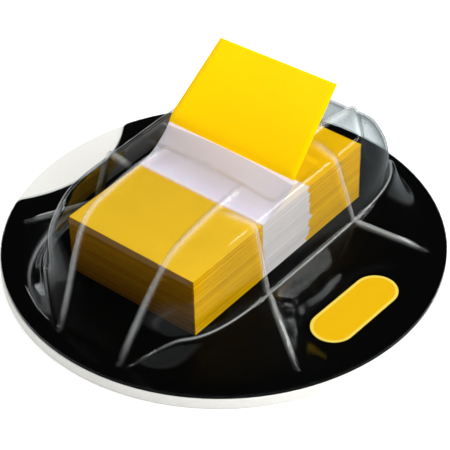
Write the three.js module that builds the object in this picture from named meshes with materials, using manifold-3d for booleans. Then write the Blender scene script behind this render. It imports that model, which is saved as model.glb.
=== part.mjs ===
// Sticky index tabs in a clear domed desk dispenser.
// Millimetres, +Z up. The origin is the centre of the pad's underside, X runs across the flags,
// Y runs along them, and the notch in the card and the cover is on the -X side.
import * as THREE from 'three';
import { mergeVertices } from 'three/addons/utils/BufferGeometryUtils.js';
import Module from 'manifold-3d';

const wasm = await Module();
wasm.setup();

// Flags
const FLAG_WIDTH = 25.4;
const FLAG_LENGTH = 43.2;

// Stack of flags
const STACK_HEIGHT = 11.0;
const STACK_X = -1.6;
const STACK_Y = 0.9;
const STACK_LAYERS = 14;
const STACK_SLIP_X = 0.18;
const STACK_SLIP_Y = 0.3;
const STACK_TURNS_X = 17;
const STACK_TURNS_Y = 23;

// Flag drawn up through the slot
const FILM_THICKNESS = 0.12;
const RISE_ANGLE = THREE.MathUtils.degToRad(62);
const RISE_RADIUS = 4.0;
const LEFT_LEAN = THREE.MathUtils.degToRad(31.5);
const RIGHT_LEAN = THREE.MathUtils.degToRad(48.5);
const LEAN_RADIUS = 4.0;
const FREE_LENGTH = 16.0;
const DRAWN_X = 0.4;

// Clear cover
const COVER_WALL = 0.4;
const HEADROOM = 7.1;
const SIDE_ROOM = 5.1;
const END_ROOM = 7.6;
const SHOULDER_HEIGHT = 5.8;
const CORNER_POWER = 6;
const END_SHARE_POWER = 9;
const SIDE_CROWN = 0.0047;
const END_CROWN = 0.0042;
const SIDE_SLOPE = 3.6;
const END_SLOPE = 1.7;
const SIDE_EDGE_BLEND = 2.0;
const END_EDGE_BLEND = 5.5;
const END_WALL_RUN = 4.2;
const FLANGE_WIDTH = 3.0;
const LEDGE_WIDTH = 0.5;
const LEDGE_DROP = 0.35;
const SKIRT_FLARE = 0.4;
const SKIRT_POWER = 1.5;
const END_WALL_START = THREE.MathUtils.degToRad(62);
const END_WALL_FULL = THREE.MathUtils.degToRad(80);
const FIN_ANGLE = THREE.MathUtils.degToRad(31.5);
const FIN_WIDTH = 4.6;
const FIN_TIP_WIDTH = 0.6;

// Raised ribs on the cover
const RIB_RADIUS = 0.55;
const RIB_SINK = 0.12;
const END_RIB_FOOT_X = 6.2;
const END_RIB_TOP_X = 7.9;
const END_RIB_BULGE = 0.3;
const END_RIB_BEND_SHARE = 0.4;
const SIDE_RIB_EDGE_INSET = 3.2;
const SIDE_RIB_EDGE_Y = 10.2;
const SIDE_RIB_TOP_INSET = 8.8;
const SIDE_RIB_TOP_Y = 11.4;

// Dispensing slot and the flat panel that the end ribs stop at
const SLOT_Y = 1.9;
const SLOT_END_GAP = 0.9;
const SLOT_WIDTH = 1.7;
const PANEL_HALF_LENGTH = 6.2;

// Non-slip pad and printed card
const PAD_MARGIN = 0.25;
const PAD_THICKNESS = 2.0;
const CARD_THICKNESS = 0.3;
const NOTCH_RADIUS = 21.5;
const NOTCH_DEPTH = 7.4;
const NOTCH_CORNER_RADIUS = 1.5;

// Sizes in plan that the pieces share
const SHOULDER_HALF_WIDTH = FLAG_WIDTH / 2 + SIDE_ROOM;
const SHOULDER_HALF_LENGTH = FLAG_LENGTH / 2 + END_ROOM;
const FOOT_RADIUS = SHOULDER_HALF_LENGTH + END_WALL_RUN;
const CARD_RADIUS = FOOT_RADIUS + FLANGE_WIDTH;
const PAD_RADIUS = CARD_RADIUS + PAD_MARGIN;
const NOTCH_OFFSET = CARD_RADIUS + NOTCH_RADIUS - NOTCH_DEPTH;
const SLOT_LENGTH = FLAG_WIDTH + 2 * SLOT_END_GAP;

// Heights that the pieces share
const CARD_BASE = PAD_THICKNESS;
const CARD_TOP = CARD_BASE + CARD_THICKNESS;
const FLANGE_TOP = CARD_TOP + COVER_WALL;
const STACK_TOP = CARD_TOP + STACK_HEIGHT;
const DOME_TOP = STACK_TOP + HEADROOM;
const SHOULDER_Z = CARD_TOP + SHOULDER_HEIGHT;

// How finely curves are divided
const DISC_SEGMENTS = 96;
const CORNER_SEGMENTS = 5;
const NOTCH_SEGMENTS = 16;
const WINDOW_SPOKES = 6;
const LOBE_SPOKES = 11;
const DOME_STATIONS = [0.4, 0.6, 0.7, 0.77, 0.83, 0.88, 1];
const SKIRT_STATIONS = [0, 0.33, 0.66, 1];
const RIB_SIDES = 6;
const RIB_STEPS = 12;
const END_RIB_SHARES = [0, 0.1, 0.2, 0.29, 0.36, 0.43, 0.5, 0.6, 0.75, 1];
const TRIM_ALLOWANCE = 1;
const FLAG_ACROSS = 4;
const FLAG_ALONG = 44;

const FULL_TURN = 2 * Math.PI;
const QUARTER_TURN = Math.PI / 2;

// Booleans

function toSolid(geometry) {
  const bare = geometry.clone();
  bare.deleteAttribute('normal');
  bare.deleteAttribute('uv');
  const merged = mergeVertices(bare, 1e-5);
  return new wasm.Manifold(new wasm.Mesh({
    numProp: 3,
    vertProperties: new Float32Array(merged.attributes.position.array),
    triVerts: new Uint32Array(merged.index.array),
  }));
}

function toGeometry(solid) {
  const mesh = solid.getMesh();
  const geometry = new THREE.BufferGeometry();
  geometry.setAttribute('position', new THREE.BufferAttribute(mesh.vertProperties, 3));
  geometry.setIndex(new THREE.BufferAttribute(mesh.triVerts, 1));
  geometry.computeVertexNormals();
  return geometry;
}

// Outlines

function arcPoints(x, y, radius, start, end, segments) {
  const points = [];
  for (let step = 0; step <= segments; step += 1) {
    const angle = start + ((end - start) * step) / segments;
    points.push(new THREE.Vector2(x + radius * Math.cos(angle), y + radius * Math.sin(angle)));
  }
  return points;
}

// A disc with a round bite on the -X side, whose two corners are rounded
function notchedDisc(radius) {
  const rimReach = radius - NOTCH_CORNER_RADIUS;
  const notchReach = NOTCH_RADIUS + NOTCH_CORNER_RADIUS;
  const rimAngle = Math.acos(
    (NOTCH_OFFSET ** 2 + rimReach ** 2 - notchReach ** 2) / (2 * NOTCH_OFFSET * rimReach),
  );
  const cornerX = -rimReach * Math.cos(rimAngle);
  const cornerY = rimReach * Math.sin(rimAngle);
  const notchAngle = Math.atan2(cornerY, cornerX + NOTCH_OFFSET);
  const rim = arcPoints(0, 0, radius, rimAngle - Math.PI, Math.PI - rimAngle, DISC_SEGMENTS);
  const upperCorner = arcPoints(
    cornerX, cornerY, NOTCH_CORNER_RADIUS, Math.PI - rimAngle, Math.PI + notchAngle, CORNER_SEGMENTS,
  );
  const notch = arcPoints(-NOTCH_OFFSET, 0, NOTCH_RADIUS, notchAngle, -notchAngle, NOTCH_SEGMENTS);
  const lowerCorner = arcPoints(
    cornerX, -cornerY, NOTCH_CORNER_RADIUS, Math.PI - notchAngle, Math.PI + rimAngle, CORNER_SEGMENTS,
  );
  const arcs = [rim, upperCorner, notch, lowerCorner];
  return new THREE.Shape(arcs.flatMap((points) => points.slice(0, -1)));
}

function plate(shape, base, thickness) {
  const geometry = new THREE.ExtrudeGeometry(shape, { depth: thickness, bevelEnabled: false });
  return geometry.translate(0, 0, base);
}

// Cover surface

// The lower of two heights, with the crease between them rounded over
function blendedMinimum(first, second, blend) {
  const overlap = Math.max(blend - Math.abs(first - second), 0);
  return Math.min(first, second) - (overlap * overlap) / (4 * blend);
}

// Distance from the centre to the body's shoulder outline, a rounded rectangle
function bodyRadius(angle) {
  const across = Math.abs(Math.cos(angle)) / SHOULDER_HALF_WIDTH;
  const along = Math.abs(Math.sin(angle)) / SHOULDER_HALF_LENGTH;
  return (across ** CORNER_POWER + along ** CORNER_POWER) ** (-1 / CORNER_POWER);
}

// Height of the dome, from a side profile and an end profile that share its crown
function domeZ(radius, angle) {
  const reach = radius / bodyRadius(angle);
  const x = reach * SHOULDER_HALF_WIDTH;
  const y = reach * SHOULDER_HALF_LENGTH;
  const sideTop = DOME_TOP - SIDE_CROWN * x * x;
  const sideWall = SHOULDER_Z + SIDE_SLOPE * (SHOULDER_HALF_WIDTH - x);
  const endTop = DOME_TOP - END_CROWN * y * y;
  const endWall = SHOULDER_Z + END_SLOPE * (SHOULDER_HALF_LENGTH - y);
  const side = blendedMinimum(sideTop, sideWall, SIDE_EDGE_BLEND);
  const end = blendedMinimum(endTop, endWall, END_EDGE_BLEND);
  const along = (Math.abs(Math.sin(angle)) * bodyRadius(angle)) / SHOULDER_HALF_LENGTH;
  return Math.max(side + (end - side) * along ** END_SHARE_POWER, FLANGE_TOP);
}

// Angle from the nearer end of the X axis, between 0 and a quarter turn
function foldedAngle(angle) {
  return Math.atan2(Math.abs(Math.sin(angle)), Math.abs(Math.cos(angle)));
}

function endWallShare(angle) {
  return THREE.MathUtils.smoothstep(foldedAngle(angle), END_WALL_START, END_WALL_FULL);
}

// Distance from the centre to where the dome stops: the shoulder, or the foot at the two ends
function domeRadius(angle) {
  const body = bodyRadius(angle);
  return body + (FOOT_RADIUS - body) * endWallShare(angle);
}

// Share of the shoulder's height that is left at a station of the skirt: a sloping lobe between
// the fins and the ends, a flat window between the fins, and a straight-backed fin between them
function skirtShare(station, radius, angle) {
  const fromFin = foldedAngle(angle) - FIN_ANGLE;
  const finWidth = FIN_WIDTH * (1 - station) + FIN_TIP_WIDTH;
  const fin = (1 - station) * Math.max(0, 1 - (Math.abs(fromFin) * radius) / finWidth);
  const lobe = fromFin < 0 ? 0 : (1 - station) ** SKIRT_POWER;
  return Math.max(fin, lobe);
}

// The outer skin, or the inner skin a wall below it, from the crown to the rim on one spoke
function coverSpoke(angle, wall) {
  const point = (radius, z) => new THREE.Vector3(
    radius * Math.cos(angle), radius * Math.sin(angle), z - wall,
  );
  const dome = domeRadius(angle);
  const shrink = (bodyRadius(angle) - wall) / bodyRadius(angle);
  const points = DOME_STATIONS.map((station) => point(
    station * dome * shrink, domeZ(station * dome, angle),
  ));
  const ledge = 1 - endWallShare(angle);
  const start = dome + LEDGE_WIDTH * ledge;
  const startZ = Math.max(domeZ(dome, angle) - LEDGE_DROP * ledge, FLANGE_TOP);
  points.push(point(start - wall, startZ));
  const flare = start + SKIRT_FLARE * ledge;
  for (const station of SKIRT_STATIONS) {
    const radius = flare + (FOOT_RADIUS + SKIRT_FLARE - flare) * station;
    const share = skirtShare(station, radius, angle);
    points.push(point(radius - wall, FLANGE_TOP + (startZ - FLANGE_TOP) * share));
  }
  points.push(point(CARD_RADIUS + TRIM_ALLOWANCE, FLANGE_TOP));
  return points;
}

function spokeAngles() {
  const quarter = [];
  for (let step = 0; step < WINDOW_SPOKES; step += 1) {
    quarter.push((FIN_ANGLE * step) / WINDOW_SPOKES);
  }
  for (let step = 0; step < LOBE_SPOKES; step += 1) {
    quarter.push(FIN_ANGLE + ((QUARTER_TURN - FIN_ANGLE) * step) / LOBE_SPOKES);
  }
  const mirrored = quarter.map((angle) => Math.PI - angle).slice(1).reverse();
  const half = [...quarter, QUARTER_TURN, ...mirrored];
  return [...half, ...half.map((angle) => angle + Math.PI)];
}

// Closed skin: each spoke runs down the outside, turns in at the rim and comes back up the inside
function coverShell() {
  const spokes = spokeAngles().map((angle) => [
    ...coverSpoke(angle, 0),
    ...coverSpoke(angle, COVER_WALL).reverse(),
  ]);
  const rings = spokes[0].length;
  const vertices = spokes.flat();
  const crown = vertices.push(new THREE.Vector3(0, 0, DOME_TOP)) - 1;
  const ceiling = vertices.push(new THREE.Vector3(0, 0, DOME_TOP - COVER_WALL)) - 1;
  const faces = [];
  spokes.forEach((_, spoke) => {
    const here = spoke * rings;
    const next = ((spoke + 1) % spokes.length) * rings;
    faces.push(crown, here, next);
    for (let ring = 0; ring < rings - 1; ring += 1) {
      faces.push(here + ring, here + ring + 1, next + ring);
      faces.push(next + ring, here + ring + 1, next + ring + 1);
    }
    faces.push(ceiling, next + rings - 1, here + rings - 1);
  });
  const geometry = new THREE.BufferGeometry().setFromPoints(vertices);
  geometry.setIndex(faces);
  return geometry;
}

// Ribs on the cover

// Height of the outer skin under a point of the plan
function coverZ(x, y) {
  const angle = Math.atan2(y, x);
  const radius = Math.hypot(x, y);
  const dome = domeRadius(angle);
  if (radius <= dome) {
    return domeZ(radius, angle);
  }
  const station = Math.min((radius - dome) / (FOOT_RADIUS + SKIRT_FLARE - dome), 1);
  return FLANGE_TOP + (domeZ(dome, angle) - FLANGE_TOP) * skirtShare(station, radius, angle);
}

// A round bead half sunk in the skin along a line of the plan, which dives out of sight at its end
function ribAlong(plan) {
  const points = plan.map(([x, y]) => new THREE.Vector3(x, y, coverZ(x, y) - RIB_SINK));
  points.at(-1).z -= RIB_RADIUS;
  const curve = new THREE.CatmullRomCurve3(points, false, 'centripetal');
  const section = new THREE.Shape(
    arcPoints(0, 0, RIB_RADIUS, 0, FULL_TURN, RIB_SIDES).slice(0, -1),
  );
  return new THREE.ExtrudeGeometry(section, { extrudePath: curve, steps: RIB_STEPS });
}

// From the foot of an end wall up to the slot's panel
function endRibPlan(sideX, sideY) {
  const foot = Math.sqrt(FOOT_RADIUS ** 2 - END_RIB_FOOT_X ** 2);
  const topEnd = sideY * (SLOT_Y + sideY * PANEL_HALF_LENGTH);
  return END_RIB_SHARES.map((share) => {
    const bend = THREE.MathUtils.smoothstep(share, 0, END_RIB_BEND_SHARE);
    const bulge = END_RIB_BULGE * Math.sin(Math.PI * share);
    const x = END_RIB_FOOT_X + (END_RIB_TOP_X - END_RIB_FOOT_X) * bend + bulge;
    return [sideX * x, sideY * (foot + (topEnd - foot) * share)];
  });
}

// From the tip of a fin along its back, up the side wall and a little way over the top
function sideRibPlan(sideX, sideY) {
  const wall = bodyRadius(FIN_ANGLE);
  const wallX = wall * Math.cos(FIN_ANGLE);
  const wallY = wall * Math.sin(FIN_ANGLE);
  const tip = FOOT_RADIUS - FIN_TIP_WIDTH;
  const edgeX = SHOULDER_HALF_WIDTH - SIDE_RIB_EDGE_INSET;
  const topX = SHOULDER_HALF_WIDTH - SIDE_RIB_TOP_INSET;
  const plan = [
    [tip * Math.cos(FIN_ANGLE), tip * Math.sin(FIN_ANGLE)],
    [(tip * Math.cos(FIN_ANGLE) + wallX) / 2, (tip * Math.sin(FIN_ANGLE) + wallY) / 2],
    [wallX + LEDGE_WIDTH, wallY],
    [(wallX + edgeX) / 2, (wallY + SIDE_RIB_EDGE_Y) / 2],
    [edgeX, SIDE_RIB_EDGE_Y],
    [(edgeX + topX) / 2, (SIDE_RIB_EDGE_Y + SIDE_RIB_TOP_Y) / 2],
    [topX, SIDE_RIB_TOP_Y],
  ];
  return plan.map(([x, y]) => [sideX * x, sideY * y]);
}

function coverGeometry() {
  let solid = toSolid(coverShell());
  for (const sideX of [-1, 1]) {
    for (const sideY of [-1, 1]) {
      solid = solid.add(toSolid(ribAlong(endRibPlan(sideX, sideY))));
      solid = solid.add(toSolid(ribAlong(sideRibPlan(sideX, sideY))));
    }
  }
  const trim = plate(notchedDisc(CARD_RADIUS), CARD_TOP, DOME_TOP);
  const slot = new THREE.BoxGeometry(SLOT_LENGTH, SLOT_WIDTH, HEADROOM);
  slot.translate(0, SLOT_Y, DOME_TOP);
  return toGeometry(solid.intersect(toSolid(trim)).subtract(toSolid(slot)));
}

// Flags

// Sideways slip of the flags at a height in the stack, none at its two faces
function stackSlip(share) {
  const fade = Math.sin(Math.PI * share);
  return new THREE.Vector2(
    STACK_SLIP_X * Math.sin(STACK_TURNS_X * share) * fade,
    STACK_SLIP_Y * Math.cos(STACK_TURNS_Y * share) * fade,
  );
}

function stackGeometry() {
  const geometry = new THREE.BoxGeometry(
    FLAG_WIDTH, FLAG_LENGTH, STACK_HEIGHT, 1, 1, STACK_LAYERS,
  );
  const position = geometry.attributes.position;
  for (let index = 0; index < position.count; index += 1) {
    const slip = stackSlip(position.getZ(index) / STACK_HEIGHT + 0.5);
    position.setX(index, position.getX(index) + slip.x);
    position.setY(index, position.getY(index) + slip.y);
  }
  return geometry;
}

// Lengths along the drawn flag, from the slot back to its stuck end
const SLOT_Z = coverZ(FLAG_WIDTH / 3, SLOT_Y) - COVER_WALL / 2;
const BEND_LENGTH = RISE_RADIUS * RISE_ANGLE;
const BEND_RISE = RISE_RADIUS * (1 - Math.cos(RISE_ANGLE));
const STRAIGHT_LENGTH = (SLOT_Z - STACK_TOP - BEND_RISE) / Math.sin(RISE_ANGLE);
const BEND_END_Y = SLOT_Y - STRAIGHT_LENGTH * Math.cos(RISE_ANGLE);
const BEND_START_Y = BEND_END_Y - RISE_RADIUS * Math.sin(RISE_ANGLE);
const FLAT_LENGTH = FLAG_LENGTH - FREE_LENGTH - STRAIGHT_LENGTH - BEND_LENGTH;

// Place and slope of the drawn flag at a length along it, for one of its long edges
function flagStation(length, lean) {
  const bend = length - FLAT_LENGTH;
  if (bend <= 0) {
    return { y: BEND_START_Y + bend, z: STACK_TOP, slope: 0 };
  }
  if (bend <= BEND_LENGTH) {
    const slope = bend / RISE_RADIUS;
    return {
      y: BEND_START_Y + RISE_RADIUS * Math.sin(slope),
      z: STACK_TOP + RISE_RADIUS * (1 - Math.cos(slope)),
      slope,
    };
  }
  const past = bend - BEND_LENGTH - STRAIGHT_LENGTH;
  if (past <= 0) {
    return {
      y: SLOT_Y + past * Math.cos(RISE_ANGLE),
      z: SLOT_Z + past * Math.sin(RISE_ANGLE),
      slope: RISE_ANGLE,
    };
  }
  const turn = Math.min(past / LEAN_RADIUS, Math.abs(lean - RISE_ANGLE));
  const turned = RISE_ANGLE + Math.sign(lean - RISE_ANGLE) * turn;
  const side = Math.sign(RISE_ANGLE - lean);
  const straight = past - turn * LEAN_RADIUS;
  const bendY = LEAN_RADIUS * side * (Math.sin(RISE_ANGLE) - Math.sin(turned));
  const bendZ = LEAN_RADIUS * side * (Math.cos(turned) - Math.cos(RISE_ANGLE));
  return {
    y: SLOT_Y + bendY + straight * Math.cos(turned),
    z: SLOT_Z + bendZ + straight * Math.sin(turned),
    slope: turned,
  };
}

function drawnFlagGeometry() {
  const geometry = new THREE.BoxGeometry(
    FLAG_WIDTH, FLAG_LENGTH, FILM_THICKNESS, FLAG_ACROSS, FLAG_ALONG, 1,
  );
  const position = geometry.attributes.position;
  for (let index = 0; index < position.count; index += 1) {
    const across = position.getX(index) / FLAG_WIDTH + 0.5;
    const length = position.getY(index) + FLAG_LENGTH / 2;
    const lift = position.getZ(index) + FILM_THICKNESS / 2;
    const left = flagStation(length, LEFT_LEAN);
    const right = flagStation(length, RIGHT_LEAN);
    const slope = THREE.MathUtils.lerp(left.slope, right.slope, across);
    const centring = THREE.MathUtils.smoothstep(length, FLAT_LENGTH, FLAG_LENGTH - FREE_LENGTH);
    position.setXYZ(
      index,
      position.getX(index) + THREE.MathUtils.lerp(STACK_X, DRAWN_X, centring),
      THREE.MathUtils.lerp(left.y, right.y, across) - lift * Math.sin(slope),
      THREE.MathUtils.lerp(left.z, right.z, across) + lift * Math.cos(slope),
    );
  }
  return geometry;
}

// Assembly

function piece(name, geometry, look) {
  const mesh = new THREE.Mesh(geometry, new THREE.MeshStandardMaterial(look));
  mesh.name = name;
  return mesh;
}

const padGeometry = new THREE.CylinderGeometry(PAD_RADIUS, PAD_RADIUS, PAD_THICKNESS, DISC_SEGMENTS);
const gripPad = piece('grip_pad', padGeometry, { color: '#f0efeb', roughness: 0.7 });
gripPad.rotation.x = QUARTER_TURN;
gripPad.position.z = PAD_THICKNESS / 2;

const cardGeometry = plate(notchedDisc(CARD_RADIUS), CARD_BASE, CARD_THICKNESS);
const backingCard = piece('backing_card', cardGeometry, { color: '#060606', roughness: 0.25 });

const flagStack = piece('flag_stack', stackGeometry(), { color: '#eec40a', roughness: 0.45 });
flagStack.position.set(STACK_X, STACK_Y, CARD_TOP + STACK_HEIGHT / 2);

const drawnFlag = piece('drawn_flag', drawnFlagGeometry(), { color: '#ffde00', roughness: 0.4 });

const cover = piece('cover', coverGeometry(), {
  color: '#dfe5e8',
  roughness: 0.08,
  transparent: true,
  opacity: 0.3,
});

const dispenser = new THREE.Group();
dispenser.add(gripPad, backingCard, flagStack, drawnFlag, cover);

export default dispenser;
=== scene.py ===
import math

import bpy
import numpy as np
from mathutils import Matrix, Vector


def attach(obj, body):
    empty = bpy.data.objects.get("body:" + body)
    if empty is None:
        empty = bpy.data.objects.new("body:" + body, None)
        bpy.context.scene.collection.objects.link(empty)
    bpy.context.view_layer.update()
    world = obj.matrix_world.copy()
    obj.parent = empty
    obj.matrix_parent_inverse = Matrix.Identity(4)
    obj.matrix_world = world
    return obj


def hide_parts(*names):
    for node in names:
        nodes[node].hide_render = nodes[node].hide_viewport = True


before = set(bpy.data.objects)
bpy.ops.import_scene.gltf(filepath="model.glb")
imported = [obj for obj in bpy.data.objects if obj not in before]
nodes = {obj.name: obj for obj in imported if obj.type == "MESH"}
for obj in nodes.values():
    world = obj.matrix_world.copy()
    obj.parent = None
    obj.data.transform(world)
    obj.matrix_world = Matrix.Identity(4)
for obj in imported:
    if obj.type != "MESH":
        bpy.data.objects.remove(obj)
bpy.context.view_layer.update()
scene = bpy.context.scene


# Camera
# It looks down on the dispenser from its front right corner with a long lens, close enough for
# the round card to fill the picture.

MM = 0.001
CAMERA_AZIMUTH = math.radians(39.85)
CAMERA_ELEVATION = math.radians(39.86)
CAMERA_ROLL = math.radians(-1.30)
CAMERA_DISTANCE = 284.8
CAMERA_AIM = (0.36, 0.0, 5.38)
CAMERA_LENS = 140.0
CAMERA_SENSOR = 36.0
CAMERA_RANGE = (0.01, 20.0)

camera_back = Vector((
    math.sin(CAMERA_AZIMUTH) * math.cos(CAMERA_ELEVATION),
    -math.cos(CAMERA_AZIMUTH) * math.cos(CAMERA_ELEVATION),
    math.sin(CAMERA_ELEVATION),
))
camera = bpy.data.objects.new("camera", bpy.data.cameras.new("camera"))
camera.data.lens = CAMERA_LENS
camera.data.sensor_width = CAMERA_SENSOR
camera.data.clip_start, camera.data.clip_end = CAMERA_RANGE
camera.location = (Vector(CAMERA_AIM) + camera_back * CAMERA_DISTANCE) * MM
camera_level = (-camera_back).to_track_quat("-Z", "Y").to_matrix()
camera.rotation_euler = (camera_level @ Matrix.Rotation(CAMERA_ROLL, 3, "Z")).to_euler()
scene.collection.objects.link(camera)
scene.camera = camera
scene.view_settings.view_transform = "Standard"


# Studio
# A white sweep under three broad soft lamps, overhead, right and front, that the cover doesn't
# mirror. Two thin strips, left and behind, draw the cover's bright lines, and a small square lamp
# behind on the right gives its near skirt a sheen.

FLOOR_WHITE = "#ffffff"
FLOOR_MIRRORED_LEFT, FLOOR_MIRRORED_RIGHT = "#dcdedf", "#7d8284"
MIRRORED_CHANGE = (-0.045, 0.0)
ROOM_WHITE = "#ffffff"
ROOM_LIGHT = 0.26
ROOM_SHOWN = 1.0
WALL_TOP = (0.0, 0.12)
HORIZON_SHOWN, CEILING_SHOWN = 0.5, 0.02
FLOOR_LIFT = 0.25
FLOOR_HALF = 3.0


def linear(hex_colour):
    """Linear colour with alpha for an sRGB hex value."""
    shares = [int(hex_colour[i:i + 2], 16) / 255 for i in (1, 3, 5)]
    return (*[s / 12.92 if s <= 0.04045 else ((s + 0.055) / 1.055) ** 2.4 for s in shares], 1.0)


def add_node(tree, kind, settings=None, inputs=None):
    """Adds a node with its settings, and links or fills its inputs, by name or by number."""
    node = tree.nodes.new(kind)
    for key, value in (settings or {}).items():
        setattr(node, key, value)
    for key, value in (inputs or {}).items():
        if isinstance(value, bpy.types.NodeSocket):
            tree.links.new(value, node.inputs[key])
        else:
            node.inputs[key].default_value = value
    return node


def start_material(name):
    material = bpy.data.materials.new(name)
    material.use_nodes = True
    material.node_tree.nodes.clear()
    return material, material.node_tree


def seen_as_background(tree):
    """1 on the rays that look at the background, 0 on those that carry its light."""
    path = add_node(tree, "ShaderNodeLightPath")
    direct = add_node(tree, "ShaderNodeMath", {"operation": "MAXIMUM"},
                      {0: path.outputs["Is Camera Ray"], 1: path.outputs["Is Transmission Ray"]})
    both = add_node(tree, "ShaderNodeMath", {"operation": "MAXIMUM"},
                    {0: direct.outputs[0], 1: path.outputs["Is Glossy Ray"]})
    return both.outputs[0]


# The room is white to the camera, and dim above the horizon where the cover mirrors it.
room = bpy.data.worlds.new("white_room")
room.use_nodes = True
room.node_tree.nodes.clear()
scene.world = room
room_way = add_node(room.node_tree, "ShaderNodeTexCoord")
room_axes = add_node(room.node_tree, "ShaderNodeSeparateXYZ", None, {
    0: room_way.outputs["Generated"]})
room_wall = add_node(room.node_tree, "ShaderNodeMapRange", None, {
    "Value": room_axes.outputs["Z"], "From Min": WALL_TOP[0], "From Max": WALL_TOP[1],
    "To Min": HORIZON_SHOWN, "To Max": CEILING_SHOWN})
room_path = add_node(room.node_tree, "ShaderNodeLightPath")
room_shown = add_node(room.node_tree, "ShaderNodeMix", {"data_type": "FLOAT"}, {
    0: room_path.outputs["Is Glossy Ray"], 2: ROOM_SHOWN, 3: room_wall.outputs[0]})
room_level = add_node(room.node_tree, "ShaderNodeMix", {"data_type": "FLOAT"}, {
    0: seen_as_background(room.node_tree), 2: ROOM_LIGHT, 3: room_shown.outputs[0]})
room_glow = add_node(room.node_tree, "ShaderNodeBackground", None, {
    "Color": linear(ROOM_WHITE), "Strength": room_level.outputs[0]})
add_node(room.node_tree, "ShaderNodeOutputWorld", None, {"Surface": room_glow.outputs[0]})

# Matt white paper shows no gloss, only the dispenser's shadow. The cover mirrors it greyer on the
# right, as if a dark card stood there, so that the stack keeps its colour behind that wall.
sweep, sweep_tree = start_material("white_paper_sweep")
sweep_path = add_node(sweep_tree, "ShaderNodeLightPath")
sweep_place = add_node(sweep_tree, "ShaderNodeTexCoord")
sweep_axes = add_node(sweep_tree, "ShaderNodeSeparateXYZ", None, {
    0: sweep_place.outputs["Object"]})
sweep_side = add_node(sweep_tree, "ShaderNodeMapRange", None, {
    "Value": sweep_axes.outputs["X"], "From Min": MIRRORED_CHANGE[0],
    "From Max": MIRRORED_CHANGE[1]})
sweep_mirrored = add_node(sweep_tree, "ShaderNodeMix", {"data_type": "RGBA"}, {
    0: sweep_side.outputs[0], 6: linear(FLOOR_MIRRORED_LEFT), 7: linear(FLOOR_MIRRORED_RIGHT)})
sweep_colour = add_node(sweep_tree, "ShaderNodeMix", {"data_type": "RGBA"}, {
    0: sweep_path.outputs["Is Glossy Ray"], 6: linear(FLOOR_WHITE),
    7: sweep_mirrored.outputs[2]})
sweep_diffuse = add_node(sweep_tree, "ShaderNodeBsdfDiffuse", None, {
    "Color": sweep_colour.outputs[2]})
sweep_lift = add_node(sweep_tree, "ShaderNodeMath", {"operation": "MULTIPLY"},
                      {0: seen_as_background(sweep_tree), 1: FLOOR_LIFT})
sweep_glow = add_node(sweep_tree, "ShaderNodeEmission", None, {
    "Color": sweep_colour.outputs[2], "Strength": sweep_lift.outputs[0]})
sweep_both = add_node(sweep_tree, "ShaderNodeAddShader", None, {
    0: sweep_diffuse.outputs[0], 1: sweep_glow.outputs[0]})
add_node(sweep_tree, "ShaderNodeOutputMaterial", None, {"Surface": sweep_both.outputs[0]})

floor_mesh = bpy.data.meshes.new("floor")
floor_mesh.from_pydata([(x * FLOOR_HALF, y * FLOOR_HALF, 0.0)
                        for x, y in ((-1, -1), (1, -1), (1, 1), (-1, 1))], [], [(0, 1, 2, 3)])
floor_mesh.materials.append(sweep)
floor = bpy.data.objects.new("floor", floor_mesh)
scene.collection.objects.link(floor)


def add_lamp(name, place, size, watts, mirrored=True):
    """A soft rectangular lamp aimed at the dispenser, place and size in metres."""
    lamp = bpy.data.objects.new(name, bpy.data.lights.new(name, "AREA"))
    lamp.data.shape = "RECTANGLE"
    lamp.data.size, lamp.data.size_y = size
    lamp.data.energy = watts
    lamp.location = place
    lamp.rotation_euler = (-Vector(place)).to_track_quat("-Z", "Y").to_euler()
    lamp.visible_glossy = mirrored
    scene.collection.objects.link(lamp)


add_lamp("overhead_lamp", (0.12, 0.22, 0.60), (0.40, 0.30), 2.5, mirrored=False)
add_lamp("right_lamp", (0.55, 0.12, 0.34), (0.30, 0.30), 3.0, mirrored=False)
add_lamp("front_lamp", (-0.10, -0.32, 0.62), (0.30, 0.30), 1.5, mirrored=False)
add_lamp("left_strip", (-0.50, -0.20, 0.22), (0.30, 0.05), 0.6)
add_lamp("back_strip", (0.25, 0.44, 0.50), (0.30, 0.06), 0.6)
add_lamp("skirt_sheen", (0.40, 0.41, 0.36), (0.18, 0.16), 1.0)


# Non-slip pad
# The white round foot is die-cut closed-cell foam rubber, bonded to the card. Its cut edge is
# slightly soft and its skin is dull, with fine pores.

PAD_RADIUS = 36.65
PAD_THICKNESS = 2.0
PAD_EDGE = 0.25
PAD_SEGMENTS = 256
PAD_EDGE_STEPS = 5
FOAM_WHITE = "#dddcd8"
FOAM_SHADE = "#d6d5d0"
FOAM_ROUGHNESS = 0.85
FOAM_SPECULAR = 0.3
FOAM_GRAIN = 0.35
FOAM_GRAIN_DETAIL, FOAM_GRAIN_ROUGHNESS = 3.0, 0.6
FOAM_GRAIN_DEPTH, FOAM_GRAIN_STRENGTH = 0.04, 0.5


def object_noise(tree, size_mm, detail=2.0, roughness=0.5):
    """Noise on object coordinates with features of about that size in millimetres."""
    place = add_node(tree, "ShaderNodeTexCoord")
    return add_node(tree, "ShaderNodeTexNoise", None, {
        "Vector": place.outputs["Object"], "Scale": 1 / (size_mm * MM),
        "Detail": detail, "Roughness": roughness})


def finish_material(tree, surface):
    add_node(tree, "ShaderNodeOutputMaterial", None, {"Surface": surface})


def make_piece(name, points, faces, material):
    """A smooth-shaded mesh at the origin, from points in millimetres."""
    mesh = bpy.data.meshes.new(name)
    mesh.from_pydata((np.asarray(points, float) * MM).tolist(), [], faces)
    mesh.update()
    mesh.shade_smooth()
    mesh.materials.append(material)
    piece = bpy.data.objects.new(name, mesh)
    scene.collection.objects.link(piece)
    return piece


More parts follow.
